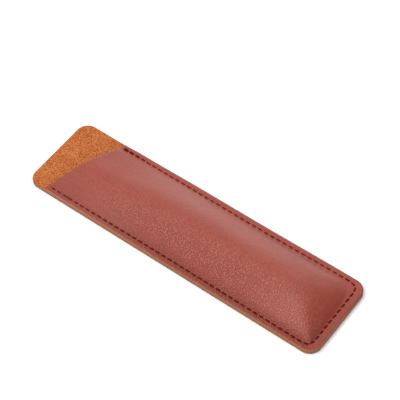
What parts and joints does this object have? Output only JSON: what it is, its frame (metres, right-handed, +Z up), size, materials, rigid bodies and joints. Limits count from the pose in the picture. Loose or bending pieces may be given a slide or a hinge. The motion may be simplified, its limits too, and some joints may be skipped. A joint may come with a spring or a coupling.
{
  "type": "fountain pen case",
  "caption": "Slim slip-in leather sleeve for one fountain pen: a lined back panel and a shorter, slant-mouthed front panel, lockstitched on three sides.",
  "frame": {"origin": "centre of the case's bounding box on its underside, the face it lies on", "axes": "+X along the case towards its closed, sewn end, +Y across it towards the side where the slanted mouth is cut back further, +Z up through the case, out of the front panel"},
  "size_m": [0.165, 0.0444, 0.0114],
  "materials": {
    "grain_leather": "smooth finished grain leather, fine even grain, satin sheen, red-brown",
    "suede_lining": "short-napped tan-orange suede, matt, fine dark pores",
    "glue": "dried contact cement, pale amber, matt",
    "thread": "twisted waxed thread, dark red"
  },
  "bodies": {
    "root": {"back_leather": "grain_leather", "back_lining": "suede_lining", "seam_glue": "glue", "front_lining": "suede_lining", "front_leather": "grain_leather", "needle_thread": "thread", "bobbin_thread": "thread"}
  },
  "joints": []
}
